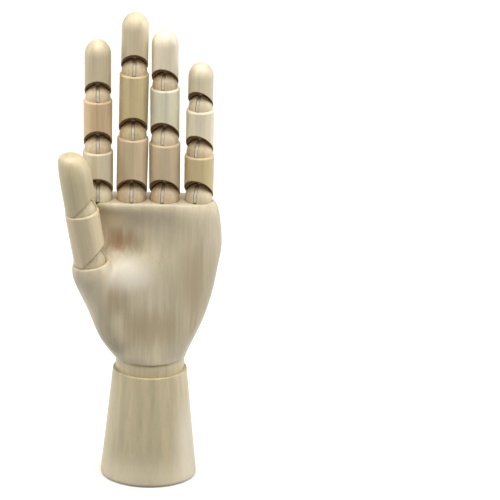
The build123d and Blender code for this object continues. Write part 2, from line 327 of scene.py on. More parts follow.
# The photograph: its size in pixels, metres to a pixel, the pixel that the hand's foot falls on, how far
# above the hand it was taken, and how far it is tipped
PICTURE = 500
PIXEL = 0.5125 * MM
FOOT_ACROSS = 148.3
FOOT_DOWN = 471.2
ELEVATION = radians(20)
ROLL = radians(1)


def add(tree, kind, settings=None, inputs=None):
    """Adds a node with its settings, and links or sets its inputs. A list is linked item by item."""
    node = tree.nodes.new(kind)
    for name, value in (settings or {}).items():
        setattr(node, name, value)
    for name, value in (inputs or {}).items():
        for item in value if isinstance(value, list) else [value]:
            if isinstance(item, bpy.types.NodeSocket):
                tree.links.new(item, node.inputs[name])
            else:
                node.inputs[name].default_value = item
    return node


def shade_of(colour, factor):
    return tuple(value * factor for value in colour)


def set_shades(ramp, colour, shades):
    """Gives a colour ramp shades of one colour, each at its position."""
    while len(ramp.elements) < len(shades):
        ramp.elements.new(0.5)
    for band, (position, factor) in zip(ramp.elements, shades):
        band.position = position
        band.color = opaque(shade_of(colour, factor))


def new_finish(name, colour):
    """A material with an empty node tree."""
    material = bpy.data.materials.new(name)
    material.use_nodes = True
    material.node_tree.nodes.clear()
    material.diffuse_color = opaque(colour)
    return material


def lacquered_lime(name, colour, lean, seed, rings, patches):
    """Lime wood, turned or carved, sanded and given one thin coat of satin lacquer.

    What it gives the eye: soft growth stripes a few millimetres apart along the grain, fine fibres, a few
    short dark pores, a slow drift of tone across the blank and a soft sheen over all.
    """
    material = new_finish(name, colour)
    tree = material.node_tree
    place = add(tree, "ShaderNodeTexCoord").outputs["Object"]
    grain = add(
        tree,
        "ShaderNodeMapping",
        {"vector_type": "POINT"},
        {
            "Vector": place,
            "Location": (13.7 * seed, 7.9 * seed, 31.3 * seed),
            "Rotation": lean,
            "Scale": (1000, 1000, 1000),
        },
    ).outputs[0]

    # Each pattern's width and length in millimetres, detail, roughness and distortion. Fibres and flecks are
    # coarser than real ones, so that they show.
    patterns = {
        "drift": (16.0, 130.0, 2, 0.5, 0.0),
        "stripe": (rings, 110.0, 3, 0.55, 0.2),
        "fibre": (0.55, 14.0, 2, 0.6, 0.0),
        "fleck": (0.5, 2.6, 0, 0.5, 0.0),
    }
    noise = {}
    for part, (across, along, detail, roughness, distortion) in patterns.items():
        stretched = add(
            tree,
            "ShaderNodeMapping",
            {"vector_type": "POINT"},
            {"Vector": grain, "Scale": (1 / across, 1 / across, 1 / along)},
        ).outputs[0]
        noise[part] = add(
            tree,
            "ShaderNodeTexNoise",
            {"noise_dimensions": "3D"},
            {
                "Vector": stretched,
                "Scale": 1.0,
                "Detail": detail,
                "Roughness": roughness,
                "Distortion": distortion,
            },
        ).outputs["Fac"]

    # The drift, stripes and fibres mixed to one tone value around 0.5
    tone = -0.7
    for part, weight in (("drift", 1.1), ("stripe", 0.95), ("fibre", 0.35)):
        tone = add(
            tree, "ShaderNodeMath", {"operation": "MULTIPLY_ADD"}, {0: noise[part], 1: weight, 2: tone}
        ).outputs[0]
    shades = add(tree, "ShaderNodeValToRGB", None, {"Fac": tone})
    shades.color_ramp.interpolation = "B_SPLINE"
    set_shades(shades.color_ramp, colour, ((0.15, 0.70), (0.5, 0.96), (0.85, 1.10)))
    surface = shades.outputs["Color"]

    # Patches of heartwood, painted light and painted shade, each with a ragged, soft edge that follows the
    # stripes
    for tint, centre, size, strength in patches:
        spot = add(
            tree,
            "ShaderNodeMapping",
            {"vector_type": "TEXTURE"},
            {"Vector": place, "Location": centre, "Scale": size},
        ).outputs[0]
        reach = add(tree, "ShaderNodeVectorMath", {"operation": "LENGTH"}, {0: spot}).outputs["Value"]
        ragged = add(
            tree,
            "ShaderNodeMath",
            {"operation": "MULTIPLY_ADD"},
            {0: noise["stripe"], 1: 0.9, 2: reach},
        ).outputs[0]
        patch = add(
            tree,
            "ShaderNodeMapRange",
            {"interpolation_type": "SMOOTHERSTEP"},
            {"Value": ragged, "From Min": 0.5, "From Max": 1.6, "To Min": strength, "To Max": 0.0},
        ).outputs[0]
        surface = add(
            tree,
            "ShaderNodeMix",
            {"data_type": "RGBA"},
            {"Factor": patch, "A": surface, "B": opaque(tint)},
        ).outputs["Result"]

    # Pores: short dark dashes, only where the fleck noise is highest
    pores = add(
        tree,
        "ShaderNodeMapRange",
        {"interpolation_type": "SMOOTHSTEP"},
        {"Value": noise["fleck"], "From Min": 0.74, "From Max": 0.84, "To Min": 0.0, "To Max": 0.2},
    ).outputs[0]
    surface = add(
        tree,
        "ShaderNodeMix",
        {"data_type": "RGBA"},
        {"Factor": pores, "A": surface, "B": opaque(shade_of(colour, 0.42))},
    ).outputs["Result"]

    relief = add(
        tree, "ShaderNodeMath", {"operation": "SUBTRACT"}, {0: noise["fibre"], 1: pores}
    ).outputs[0]
    bump = add(
        tree, "ShaderNodeBump", None, {"Height": relief, "Strength": 0.35, "Distance": 0.06 * MM}
    ).outputs[0]
    sheen = add(
        tree,
        "ShaderNodeMapRange",
        None,
        {"Value": noise["stripe"], "From Min": 0.3, "From Max": 0.7, "To Min": 0.40, "To Max": 0.52},
    ).outputs[0]
    shader = add(
        tree,
        "ShaderNodeBsdfPrincipled",
        None,
        {
            "Base Color": surface,
            "Roughness": sheen,
            "IOR": 1.5,
            "Coat Weight": 0.25,
            "Coat Roughness": 0.3,
            "Normal": bump,
        },
    )
    add(tree, "ShaderNodeOutputMaterial", None, {"Surface": shader.outputs[0]})
    return material


def raw_end_grain(name, colour):
    """Bare end grain where the cutters went across the fibres: rough and without any sheen, and darker,
    partly as end grain is and partly as painted shade in the scoops and sockets.
    """
    material = new_finish(name, colour)
    tree = material.node_tree
    place = add(tree, "ShaderNodeTexCoord").outputs["Object"]
    # Open pores 0.6 mm apart, coarser than real ones, so that they show
    pores = add(
        tree, "ShaderNodeTexNoise", None, {"Vector": place, "Scale": 1000 / 0.6, "Detail": 2.0}
    ).outputs[0]
    shades = add(tree, "ShaderNodeValToRGB", None, {"Fac": pores})
    set_shades(shades.color_ramp, colour, ((0.3, 0.7), (0.7, 1.0)))
    bump = add(
        tree, "ShaderNodeBump", None, {"Height": pores, "Strength": 0.4, "Distance": 0.1 * MM}
    ).outputs[0]
    shader = add(
        tree,
        "ShaderNodeBsdfPrincipled",
        None,
        {"Base Color": shades.outputs["Color"], "Roughness": 0.8, "IOR": 1.5, "Normal": bump},
    )
    add(tree, "ShaderNodeOutputMaterial", None, {"Surface": shader.outputs[0]})
    return material


def drawn_steel(name, colour):
    """Plain drawn steel wire and strip: satin, with fine lengthwise draw marks."""
    material = new_finish(name, colour)
    tree = material.node_tree
    place = add(tree, "ShaderNodeTexCoord").outputs["Object"]
    # Draw marks 0.2 mm wide and 6 mm long, coarser than real ones, so that they show
    marks = add(
        tree,
        "ShaderNodeMapping",
        None,
        {"Vector": place, "Scale": (1000 / 0.2, 1000 / 0.2, 1000 / 6.0)},
    ).outputs[0]
    noise = add(
        tree, "ShaderNodeTexNoise", None, {"Vector": marks, "Scale": 1.0, "Detail": 2.0}
    ).outputs[0]
    rough = add(
        tree,
        "ShaderNodeMapRange",
        None,
        {"Value": noise, "From Min": 0.3, "From Max": 0.7, "To Min": 0.6, "To Max": 0.72},
    ).outputs[0]
    bump = add(
        tree, "ShaderNodeBump", None, {"Height": noise, "Strength": 0.3, "Distance": 0.02 * MM}
    ).outputs[0]
    shader = add(
        tree,
        "ShaderNodeBsdfPrincipled",
        None,
        {"Base Color": opaque(colour), "Metallic": 1.0, "Roughness": rough, "Normal": bump},
    )
    add(tree, "ShaderNodeOutputMaterial", None, {"Surface": shader.outputs[0]})
    return material


def matt_paper(name, colour):
    """Matt background paper with a faint tooth, 1.1 mm apart."""
    material = new_finish(name, colour)
    tree = material.node_tree
    place = add(tree, "ShaderNodeTexCoord").outputs["Object"]
    tooth = add(
        tree, "ShaderNodeTexNoise", None, {"Vector": place, "Scale": 900.0, "Detail": 2.0}
    ).outputs[0]
    bump = add(
        tree, "ShaderNodeBump", None, {"Height": tooth, "Strength": 0.05, "Distance": 0.2 * MM}
    ).outputs[0]
    shader = add(
        tree,
        "ShaderNodeBsdfPrincipled",
        None,
        {"Base Color": opaque(colour), "Roughness": 0.9, "Normal": bump},
    )
    add(tree, "ShaderNodeOutputMaterial", None, {"Surface": shader.outputs[0]})
    return material


def wood_for(piece, lean=(0, 0, 0)):
    """The finish of one wooden piece, from the blank it is turned from and a seed of its own."""
    tones = bpy.context.scene.wooden_hand.tones
    blank = tuple(getattr(tones, BLANKS[piece]))
    seed = list(BLANKS).index(piece) + 1
    rings = BALL_RINGS if piece.endswith("_ball") else WIDE_RINGS
    patches = [(getattr(tones, tone), *rest) for tone, *rest in PATCHES.get(piece, ())]
    return lacquered_lime(f"lacquered_lime_{piece}", blank, lean, seed, rings, patches)


def new_tree(name, sizes):
    """An empty geometry tree with one named input for each size and a geometry output."""
    tree = bpy.data.node_groups.new(name, "GeometryNodeTree")
    tree.interface.new_socket("Geometry", in_out="INPUT", socket_type="NodeSocketGeometry")
    for size in sizes:
        tree.interface.new_socket(size, in_out="INPUT", socket_type="NodeSocketFloat")
    for material in ("Material", "Raw Material"):
        tree.interface.new_socket(material, in_out="INPUT", socket_type="NodeSocketMaterial")
    tree.interface.new_socket("Geometry", in_out="OUTPUT", socket_type="NodeSocketGeometry")
    return tree, tree.nodes.new("NodeGroupInput").outputs


def finish_tree(tree, geometry, given, raw=None):
    """Ends a tree: merged points, smooth faces with the sharp edges kept, real meshes and the finish.

    The faces chosen by raw get the raw material: bare end grain, darker partly of its own and partly as
    painted shade.
    """
    merged = add(tree, "GeometryNodeMergeByDistance", None, {"Geometry": geometry, "Distance": 1e-6})
    smooth = add(tree, "GeometryNodeSetShadeSmooth", {"domain": "FACE"}, {"Geometry": merged.outputs[0]})
    corner = add(tree, "GeometryNodeInputMeshEdgeAngle").outputs["Unsigned Angle"]
    sharp = add(
        tree,
        "FunctionNodeCompare",
        {"data_type": "FLOAT", "operation": "GREATER_THAN"},
        {"A": corner, "B": CREASE},
    )
    edged = add(
        tree,
        "GeometryNodeSetShadeSmooth",
        {"domain": "EDGE"},
        {"Geometry": smooth.outputs[0], "Selection": sharp.outputs[0], "Shade Smooth": False},
    )
    real = add(tree, "GeometryNodeRealizeInstances", None, {"Geometry": edged.outputs[0]})
    painted = add(
        tree,
        "GeometryNodeSetMaterial",
        None,
        {"Geometry": real.outputs[0], "Material": given["Material"]},
    ).outputs[0]
    if raw is not None:
        painted = add(
            tree,
            "GeometryNodeSetMaterial",
            None,
            {"Geometry": painted, "Selection": raw, "Material": given["Raw Material"]},
        ).outputs[0]
    add(tree, "NodeGroupOutput", None, {"Geometry": painted})


TURNED_SIZES = (
    "Foot Radius",
    "Top Radius",
    "Foot",
    "Top",
    "Foot Round",
    "Rim Width",
    "Rim Height",
    "Lean",
    "Blunt",
)

# The turned form's sums, in order. Each has a name, an operation, and numbers or names of earlier values.
# The height comes first, then the taper, how far the rim has closed, the reach from the axis and the place.
TURNED_SUMS = (
    ("foot end", "ADD", "Foot", "Foot Round"),
    ("straight", "SUBTRACT", "Top", "Rim Height"),
    ("straight", "SUBTRACT", "straight", "foot end"),
    ("curl", "COSINE", "low"),
    ("curl", "SUBTRACT", 1.0, "curl"),
    ("height", "MULTIPLY_ADD", "Foot Round", "curl", "Foot"),
    ("height", "MULTIPLY_ADD", "straight", "side", "height"),
    ("climb", "SINE", "high"),
    ("height", "MULTIPLY_ADD", "Rim Height", "climb", "height"),
    ("above", "SUBTRACT", "height", "Foot"),
    ("tall", "SUBTRACT", "Top", "Foot"),
    ("share", "DIVIDE", "above", "tall"),
    ("growth", "SUBTRACT", "Top Radius", "Foot Radius"),
    ("taper", "MULTIPLY_ADD", "share", "growth", "Foot Radius"),
    ("open", "COSINE", "high"),
    ("open", "POWER", "open", "Blunt"),
    ("closing", "SUBTRACT", 1.0, "open"),
    ("tuck", "SINE", "low"),
    ("tuck", "SUBTRACT", 1.0, "tuck"),
    ("tuck", "MULTIPLY", "Foot Round", "tuck"),
    ("reach", "SUBTRACT", "taper", "tuck"),
    ("loss", "MULTIPLY", "Rim Width", "closing"),
    ("reach", "SUBTRACT", "reach", "loss"),
    ("across", "MULTIPLY", "X", "reach"),
    ("shift", "MULTIPLY", "Lean", "closing"),
    ("back", "MULTIPLY_ADD", "Y", "reach", "shift"),
)


def turned_blank(tree, sizes):
    """A turned form: rounded at the foot, tapering, and rounded or domed at the top.

    It is a cylinder of unit size whose height from 0 to 1 first runs round the foot, then up the side and
    last over the rim or the dome.
    """
    rod = add(
        tree,
        "GeometryNodeMeshCylinder",
        {"fill_type": "NGON"},
        {"Vertices": 96, "Side Segments": 42, "Radius": 1.0, "Depth": 1.0},
    ).outputs["Mesh"]
    position = add(tree, "GeometryNodeInputPosition").outputs[0]
    place = add(tree, "ShaderNodeSeparateXYZ", None, {0: position}).outputs
    run = add(tree, "ShaderNodeMath", {"operation": "ADD"}, {0: place["Z"], 1: 0.5}).outputs[0]
    values = {name: sizes[name] for name in TURNED_SIZES}
    values["X"] = place["X"]
    values["Y"] = place["Y"]
    # How far round the foot, up the side and over the rim the run is
    stretches = (("low", 0.0, 1 / 6, pi / 2), ("side", 1 / 6, 0.5, 1.0), ("high", 0.5, 1.0, pi / 2))
    for name, start, end, highest in stretches:
        values[name] = add(
            tree,
            "ShaderNodeMapRange",
            None,
            {"Value": run, "From Min": start, "From Max": end, "To Min": 0.0, "To Max": highest},
        ).outputs[0]
    for name, operation, *terms in TURNED_SUMS:
        taken = {i: values.get(term, term) for i, term in enumerate(terms)}
        values[name] = add(tree, "ShaderNodeMath", {"operation": operation}, taken).outputs[0]
    spot = add(
        tree,
        "ShaderNodeCombineXYZ",
        None,
        {"X": values["across"], "Y": values["back"], "Z": values["height"]},
    ).outputs[0]
    return add(tree, "GeometryNodeSetPosition", None, {"Geometry": rod, "Position": spot}).outputs[0]


def ball_at(tree, radius, height=0.0, segments=64):
    """A round ball on the axis at a height."""
    ball = add(
        tree,
        "GeometryNodeMeshUVSphere",
        None,
        {"Segments": segments, "Rings": segments // 2, "Radius": radius},
    ).outputs["Mesh"]
    place = add(tree, "ShaderNodeCombineXYZ", None, {"Z": height}).outputs[0]
    return add(tree, "GeometryNodeTransform", None, {"Geometry": ball, "Translation": place}).outputs[0]


def segment_tree():
    """A finger segment: turned, cupped for the next ball, hollowed for its own and scooped in front."""
    hollows = ("Ball", "Relief", "Relief Foot", "Cup", "Cup Height", "Heel", "Tilt")
    arches = ("Arch Width", "Arch Height", "Arch Foot", "Arch Back")
    tree, given = new_tree("Scooped finger segment", TURNED_SIZES + hollows + arches)
    blank = turned_blank(tree, given)
    socket = ball_at(tree, given["Ball"])
    cup = ball_at(tree, given["Cup"], given["Cup Height"])
    block = add(tree, "GeometryNodeMeshCube", None, {"Size": (BLOCK, BLOCK, BLOCK)}).outputs["Mesh"]

    # The relief: a little room round the upper part of the ball
    middle = add(
        tree, "ShaderNodeMath", {"operation": "ADD"}, {0: given["Relief Foot"], 1: BLOCK / 2}
    ).outputs[0]
    above = add(tree, "ShaderNodeCombineXYZ", None, {"Z": middle}).outputs[0]
    room = add(tree, "GeometryNodeTransform", None, {"Geometry": block, "Translation": above}).outputs[0]
    wide = ball_at(tree, given["Relief"])
    relief = add(tree, "GeometryNodeMeshBoolean", OVERLAP, {"Mesh 2": [wide, room]}).outputs["Mesh"]

    # The scoop: a block with its upper back edge at the heel, tilted up towards the front
    corner = add(
        tree,
        "GeometryNodeTransform",
        None,
        {"Geometry": block, "Translation": (0, -BLOCK / 2, -BLOCK / 2)},
    ).outputs[0]
    heel = add(tree, "ShaderNodeCombineXYZ", None, {"Y": given["Heel"], "Z": given["Foot"]}).outputs[0]
    tilt = add(tree, "ShaderNodeCombineXYZ", None, {"X": given["Tilt"]}).outputs[0]
    scoop = add(
        tree, "GeometryNodeTransform", None, {"Geometry": corner, "Translation": heel, "Rotation": tilt}
    ).outputs[0]

    # The arch: an elliptic tunnel from the front to just behind the pin, over the ball
    drum = add(
        tree, "GeometryNodeMeshCylinder", None, {"Vertices": 96, "Radius": 1.0, "Depth": BLOCK}
    ).outputs["Mesh"]
    oval = add(
        tree,
        "ShaderNodeCombineXYZ",
        None,
        {"X": given["Arch Width"], "Y": given["Arch Height"], "Z": 1.0},
    ).outputs[0]
    ahead = add(
        tree, "ShaderNodeMath", {"operation": "ADD"}, {0: -BLOCK / 2, 1: given["Arch Back"]}
    ).outputs[0]
    mouth = add(tree, "ShaderNodeCombineXYZ", None, {"Y": ahead, "Z": given["Arch Foot"]}).outputs[0]
    arch = add(
        tree,
        "GeometryNodeTransform",
        None,
        {"Geometry": drum, "Translation": mouth, "Rotation": (pi / 2, 0, 0), "Scale": oval},
    ).outputs[0]
    cutters = [socket, cup, relief, scoop, arch]
    carved = add(tree, "GeometryNodeMeshBoolean", CARVE, {"Mesh 1": blank, "Mesh 2": cutters})

    # What the cutters left is raw end grain, its darker tone partly its own and partly painted shade: it
    # faces down, or lies inside the segment's lower end
    normal = add(tree, "GeometryNodeInputNormal").outputs[0]
    facing = add(tree, "ShaderNodeSeparateXYZ", None, {0: normal}).outputs["Z"]
    down = add(tree, "ShaderNodeMath", {"operation": "LESS_THAN"}, {0: facing, 1: FACES_DOWN}).outputs[0]
    position = add(tree, "GeometryNodeInputPosition").outputs[0]
    place = add(tree, "ShaderNodeSeparateXYZ", None, {0: position}).outputs
    flat = add(tree, "ShaderNodeCombineXYZ", None, {"X": place["X"], "Y": place["Y"]}).outputs[0]
    out = add(tree, "ShaderNodeVectorMath", {"operation": "LENGTH"}, {0: flat}).outputs["Value"]
    inside = 1.0
    for distance, share in ((out, INNER_REACH), (place["Z"], INNER_HEIGHT)):
        limit = add(
            tree, "ShaderNodeMath", {"operation": "MULTIPLY"}, {0: given["Foot Radius"], 1: share}
        ).outputs[0]
        within = add(tree, "ShaderNodeMath", {"operation": "LESS_THAN"}, {0: distance, 1: limit}).outputs[0]
        inside = add(tree, "ShaderNodeMath", {"operation": "MULTIPLY"}, {0: inside, 1: within}).outputs[0]
    raw = add(tree, "ShaderNodeMath", {"operation": "MAXIMUM"}, {0: down, 1: inside}).outputs[0]
    finish_tree(tree, carved.outputs["Mesh"], given, raw)
    return tree


def ball_tree():
    """A wooden ball with the sawn slot that its tongue swings in and the plugged bore of the cross pin."""
    tree, given = new_tree("Slotted ball", ("Radius", "Slot", "Eye", "Pin", "Pin Length"))
    ball = ball_at(tree, given["Radius"])
    size = add(tree, "ShaderNodeCombineXYZ", None, {"X": given["Slot"], "Y": BLOCK, "Z": BLOCK}).outputs[0]
    plate = add(tree, "GeometryNodeMeshCube", None, {"Size": size}).outputs["Mesh"]
    # The slot is open in front, and above the pin it reaches back past the tongue's eye
    cutters = []
    for back, height in ((given["Eye"], BLOCK / 2), (0.0, 0.0)):
        middle = add(tree, "ShaderNodeMath", {"operation": "SUBTRACT"}, {0: back, 1: BLOCK / 2}).outputs[0]
        place = add(tree, "ShaderNodeCombineXYZ", None, {"Y": middle, "Z": height}).outputs[0]
        slot = add(tree, "GeometryNodeTransform", None, {"Geometry": plate, "Translation": place})
        cutters.append(slot.outputs[0])
    rod = add(
        tree,
        "GeometryNodeMeshCylinder",
        None,
        {"Vertices": 32, "Radius": given["Pin"], "Depth": given["Pin Length"]},
    ).outputs["Mesh"]
    bore = add(tree, "GeometryNodeTransform", None, {"Geometry": rod, "Rotation": (0, pi / 2, 0)})
    cutters.append(bore.outputs[0])
    slotted = add(tree, "GeometryNodeMeshBoolean", CARVE, {"Mesh 1": ball, "Mesh 2": cutters})
    finish_tree(tree, slotted.outputs["Mesh"], given)
    return tree


def round_tree():
    """A plain ball: the cutter for a cup."""
    tree, given = new_tree("Plain ball", ("Radius",))
    finish_tree(tree, ball_at(tree, given["Radius"], segments=128), given)
    return tree


def hinge_tree():
    """A steel tongue with its eye, its cross pin and the blade that fills the ball's slot in front."""
    sizes = ("Thick", "Wide", "Long", "Set Back", "Eye", "Pin", "Pin Length", "Blade")
    tree, given = new_tree("Bladed tongue", sizes)
    size = add(
        tree,
        "ShaderNodeCombineXYZ",
        None,
        {"X": given["Thick"], "Y": given["Wide"], "Z": given["Long"]},
    ).outputs[0]
    bar = add(tree, "GeometryNodeMeshCube", None, {"Size": size}).outputs["Mesh"]
    half = add(tree, "ShaderNodeMath", {"operation": "MULTIPLY"}, {0: given["Long"], 1: 0.5}).outputs[0]
    set_back = add(tree, "ShaderNodeCombineXYZ", None, {"Y": given["Set Back"], "Z": half}).outputs[0]
    strip = add(tree, "GeometryNodeTransform", None, {"Geometry": bar, "Translation": set_back}).outputs[0]
    discs = {}
    for name, vertices, depth in (("Blade", 96, "Thick"), ("Eye", 48, "Thick"), ("Pin", 32, "Pin Length")):
        flat = add(
            tree,
            "GeometryNodeMeshCylinder",
            None,
            {"Vertices": vertices, "Radius": given[name], "Depth": given[depth]},
        ).outputs["Mesh"]
        turned = add(tree, "GeometryNodeTransform", None, {"Geometry": flat, "Rotation": (0, pi / 2, 0)})
        discs[name] = turned.outputs[0]

    # The blade: the quarter of its disc in front and above, turned a little down in front
    block = add(tree, "GeometryNodeMeshCube", None, {"Size": (BLOCK, BLOCK, BLOCK)}).outputs["Mesh"]
    corner = add(
        tree,
        "GeometryNodeTransform",
        None,
        {"Geometry": block, "Translation": (0, -BLOCK / 2, BLOCK / 2)},
    ).outputs[0]
    heel = add(tree, "ShaderNodeCombineXYZ", None, {"Z": given["Pin"]}).outputs[0]
    quarter = add(
        tree,
        "GeometryNodeTransform",
        None,
        {"Geometry": corner, "Translation": heel, "Rotation": (BLADE_SLANT, 0, 0)},
    ).outputs[0]
    blade = add(tree, "GeometryNodeMeshBoolean", OVERLAP, {"Mesh 2": [discs["Blade"], quarter]})
    parts = [strip, blade.outputs["Mesh"], discs["Eye"], discs["Pin"]]
    whole = add(tree, "GeometryNodeMeshBoolean", JOIN, {"Mesh 2": parts})
    finish_tree(tree, whole.outputs["Mesh"], given)
    return tree


def base_tree():
    """The turned base with the wrist's seat, the rod's bore and the spring's pocket."""
    sizes = TURNED_SIZES + ("Seat", "Seat Height", "Bore", "Pocket", "Pocket Depth")
    tree, given = new_tree("Turned base", sizes)
    blank = turned_blank(tree, given)
    seat = ball_at(tree, given["Seat"], given["Seat Height"], 128)
    bore = add(
        tree, "GeometryNodeMeshCylinder", None, {"Vertices": 48, "Radius": given["Bore"], "Depth": ROD}
    ).outputs["Mesh"]
    depth = add(
        tree, "ShaderNodeMath", {"operation": "MULTIPLY"}, {0: given["Pocket Depth"], 1: 2.0}
    ).outputs[0]
    pocket = add(
        tree,
        "GeometryNodeMeshCylinder",
        None,
        {"Vertices": 64, "Radius": given["Pocket"], "Depth": depth},
    ).outputs["Mesh"]
    cutters = [seat, bore, pocket]
    bored = add(tree, "GeometryNodeMeshBoolean", CARVE, {"Mesh 1": blank, "Mesh 2": cutters})
    finish_tree(tree, bored.outputs["Mesh"], given)
    return tree


def apply_modifiers(piece):
    """Gives a piece the mesh that its modifiers make, and removes them."""
    evaluated = piece.evaluated_get(bpy.context.evaluated_depsgraph_get())
    mesh = bpy.data.meshes.new_from_object(evaluated)
    piece.modifiers.clear()
    piece.data = mesh


def made_by(tree, name, sizes, material, placement, raw=None):
    """Runs a tree with these sizes and returns its result as a plain mesh object, put in place."""
    maker = bpy.data.objects.new(name, bpy.data.meshes.new(name))
    bpy.context.scene.collection.objects.link(maker)
    modifier = maker.modifiers.new("Make", "NODES")
    modifier.node_group = tree
    sockets = {item.name: item.identifier for item in tree.interface.items_tree if item.in_out == "INPUT"}
    for size, value in sizes.items():
        modifier[sockets[size]] = float(value)
    modifier[sockets["Material"]] = material
    modifier[sockets["Raw Material"]] = raw
    apply_modifiers(maker)
    maker.data.transform(placement)
    return maker


def joint_matrix(digit, joint):
    """A joint's place: x along its pin, z towards the fingertip, its ball's centre as origin."""
    pin = PINS[f"{digit}_{joint}"]
    turn = -1 if digit == "thumb" else 1
    along = turn * Vector(PINS[f"{digit}_swivel"]["axis"])
    across = turn * Vector(pin["axis"])
    back = along.cross(across)
    return Matrix.Translation(pin["pos_m"]) @ Matrix((across, back, along)).transposed().to_4x4()


def joints_of(digit):
    return THUMB_JOINTS if digit == "thumb" else FINGER_JOINTS


def grain_of(digit, place):
    """How a blank's grain leans: upright in the fingers, and along the leaning thumb."""
    return place.inverted().to_euler() if digit == "thumb" else (0, 0, 0)


def put_for(piece, node):
    """Lets a finished piece stand for a node of the frame."""
    body = frame["nodes"][node]["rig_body"]
    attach(piece, body)
    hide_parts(node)


class HAND_OT_segments(bpy.types.Operator):
    """Turns and scoops the finger and thumb segments"""

    bl_idname = "wooden_hand.segments"
    bl_label = "Finger and Thumb Segments"

    def execute(self, context):
        digits = context.scene.wooden_hand.digits
        tree = segment_tree()
        raw = raw_end_grain("raw_end_grain", tuple(context.scene.wooden_hand.tones.socket))
        foot = digits.lip - digits.drop
        for number, digit in enumerate(DIGITS):
            radii = getattr(digits, digit)
            joints = joints_of(digit)
            places = [joint_matrix(digit, joint) for joint, _ in joints]
            for i, (_, segment) in enumerate(joints):
                radius = radii[i]
                hollow = digits.ball_share * radius + digits.play
                start = digits.scoop_start
                slope = digits.knuckle_slope if i == 0 else digits.scoop_slope
                if digit == "thumb":
                    start = digits.thumb_scoop_start
                    slope = digits.thumb_scoop_slope
                sizes = {
                    "Foot Radius": radius,
                    "Foot": foot,
                    "Foot Round": digits.foot_round,
                    "Ball": hollow,
                    "Relief": radius + digits.relief,
                    "Relief Foot": radius / 2,
                    "Heel": (start * radius - foot) / slope,
                    "Tilt": -atan(slope),
                    "Arch Width": hollow,
                    "Arch Height": digits.arch_share * slope * radius,
                    "Arch Foot": start * radius,
                    "Arch Back": digits.arch_back,
                }
                if i + 1 < len(joints):
                    gap = (places[i + 1].translation - places[i].translation).length
                    sizes["Top"] = gap - digits.drop
                    sizes["Top Radius"] = radius + digits.flare
                    sizes["Rim Width"] = digits.rim
                    sizes["Rim Height"] = digits.rim
                    sizes["Blunt"] = EASED
                    sizes["Cup"] = digits.ball_share * radii[i + 1]
                    sizes["Cup Height"] = gap
                else:
                    sizes["Top"] = digits.tips[number]
                    sizes["Top Radius"] = radius
                    sizes["Rim Width"] = radius
                    sizes["Rim Height"] = digits.domes[number]
                    sizes["Blunt"] = digits.thumb_blunt if digit == "thumb" else ROUND
                    sizes["Lean"] = digits.thumb_lean if digit == "thumb" else 0
                    # No ball follows, so the cup's cutter is put clear of the tip
                    sizes["Cup"] = MM
                    sizes["Cup Height"] = 2 * digits.tips[number]
                node = f"{digit}_{segment}"
                finish = wood_for(node, grain_of(digit, places[0]))
                # The fingers' cut faces get the end grain with its painted shade; the thumb's keep its own
                # finish
                inner = finish if digit == "thumb" else raw
                piece = made_by(tree, f"turned_{node}", sizes, finish, places[i], inner)
                put_for(piece, node)
        return {"FINISHED"}


class HAND_OT_balls(bpy.types.Operator):
    """Turns and slots the joint balls of the fingers and the thumb, and finishes the wrist's"""

    bl_idname = "wooden_hand.balls"
    bl_label = "Slotted Balls"

    def execute(self, context):
        digits = context.scene.wooden_hand.digits
        tree = ball_tree()
        for digit in DIGITS:
            radii = getattr(digits, digit)
            for i, (joint, _) in enumerate(joints_of(digit)):
                node = f"{digit}_{joint}_ball"
                radius = digits.ball_share * radii[i]
                # The slot's back clears the tongue's eye by four running gaps
                sizes = {
                    "Radius": radius,
                    "Slot": digits.slot,
                    "Eye": digits.eye + 4 * digits.gap,
                    "Pin": digits.pin + digits.gap,
                    "Pin Length": 2 * (radius - digits.plug + digits.gap),
                }
                place = joint_matrix(digit, joint)
                finish = wood_for(node, grain_of(digit, place))
                piece = made_by(tree, f"slotted_{node}", sizes, finish, place)
                put_for(piece, node)
        wrist = frame["nodes"]["wrist_ball"]
        wrist.data.materials.clear()
        wrist.data.materials.append(wood_for("wrist_ball"))
        return {"FINISHED"}


class HAND_OT_base(bpy.types.Operator):
    """Turns the base"""

    bl_idname = "wooden_hand.base"
    bl_label = "Turned Base"

    def execute(self, context):
        body = context.scene.wooden_hand.body
        sizes = {
            "Foot Radius": body.foot,
            "Top Radius": body.top,
            "Foot": 0,
            "Top": body.height,
            "Foot Round": body.foot_round,
            "Rim Width": body.rim_round,
            "Rim Height": body.rim_round,
            "Blunt": ROUND,
            "Seat": body.wrist + body.seat_gap,
            "Seat Height": body.wrist_height,
            "Bore": body.bore,
            "Pocket": body.pocket[0],
            "Pocket Depth": body.pocket[1],
        }
        piece = made_by(base_tree(), "turned_base", sizes, wood_for("base"), Matrix())
        put_for(piece, "base")
        return {"FINISHED"}


def fade(value, ends):
    """How far a value is on its way from the first end to the second, from 0 to 1."""
    start, end = ends
    return min(max((value - start) / (end - start), 0), 1)


